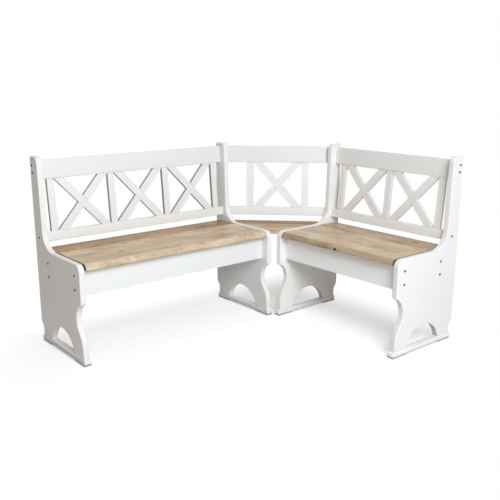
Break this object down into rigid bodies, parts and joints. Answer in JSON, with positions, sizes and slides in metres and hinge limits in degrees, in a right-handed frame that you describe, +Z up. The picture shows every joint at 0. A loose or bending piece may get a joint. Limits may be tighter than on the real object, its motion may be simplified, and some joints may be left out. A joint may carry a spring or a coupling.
{
  "type": "corner storage bench",
  "caption": "L-shaped corner bench with lift-up oak seats over storage boxes, shaped side panels and leaning backs with crossed braces.",
  "frame": {"origin": "centre of the bounding box, on the floor", "axes": "+X along the long bench towards the corner, +Y towards the wall behind the long bench, +Z up"},
  "size_m": [1.554, 1.254, 0.887],
  "materials": {
    "painted_wood": "white satin paint on pine",
    "oak_wood": "natural oak, satin lacquer",
    "dark_metal": "dark bronze"
  },
  "bodies": {
    "bench_frame": {"long_inner_panel": "painted_wood", "long_outer_panel": "painted_wood", "long_inner_base_rail": "painted_wood", "long_outer_base_rail": "painted_wood", "long_top_rail": "painted_wood", "long_lower_rail": "painted_wood", "long_post_1": "painted_wood", "long_post_2": "painted_wood", "long_post_3": "painted_wood", "long_post_4": "painted_wood", "long_brace_rising_1": "painted_wood", "long_brace_falling_1": "painted_wood", "long_brace_rising_2": "painted_wood", "long_brace_falling_2": "painted_wood", "long_brace_rising_3": "painted_wood", "long_brace_falling_3": "painted_wood", "long_apron": "painted_wood", "long_box_back": "painted_wood", "long_box_bottom": "painted_wood", "long_seat_strip": "oak_wood", "long_hinge_1_strip_leaf": "dark_metal", "long_hinge_2_strip_leaf": "dark_metal", "long_side_cleat": "painted_wood", "short_inner_panel": "painted_wood", "short_outer_panel": "painted_wood", "short_inner_base_rail": "painted_wood", "short_outer_base_rail": "painted_wood", "short_top_rail": "painted_wood", "short_lower_rail": "painted_wood", "short_post_1": "painted_wood", "short_post_2": "painted_wood", "short_post_3": "painted_wood", "short_brace_rising_1": "painted_wood", "short_brace_falling_1": "painted_wood", "short_brace_rising_2": "painted_wood", "short_brace_falling_2": "painted_wood", "short_apron": "painted_wood", "short_box_back": "painted_wood", "short_box_bottom": "painted_wood", "short_seat_strip": "oak_wood", "short_hinge_1_strip_leaf": "dark_metal", "short_hinge_2_strip_leaf": "dark_metal", "short_side_cleat": "painted_wood", "corner_top_rail": "painted_wood", "corner_lower_rail": "painted_wood", "corner_post_1": "painted_wood", "corner_post_2": "painted_wood", "corner_brace_rising_1": "painted_wood", "corner_brace_falling_1": "painted_wood", "corner_seat": "oak_wood"},
    "long_lid": {"long_seat_lid": "oak_wood", "long_hinge_1_lid_leaf": "dark_metal", "long_hinge_2_lid_leaf": "dark_metal"},
    "short_lid": {"short_seat_lid": "oak_wood", "short_hinge_1_lid_leaf": "dark_metal", "short_hinge_2_lid_leaf": "dark_metal"}
  },
  "joints": [
    {"name": "long_lid_hinge", "type": "hinge", "parent": "bench_frame", "child": "long_lid", "pos_m": [-0.2265, 0.466, 0.4565], "axis": [-1, 0, 0], "range_deg": [0, 116]},
    {"name": "short_lid_hinge", "type": "hinge", "parent": "bench_frame", "child": "short_lid", "pos_m": [0.616, -0.2265, 0.4565], "axis": [0, 1, 0], "range_deg": [0, 116]}
  ]
}
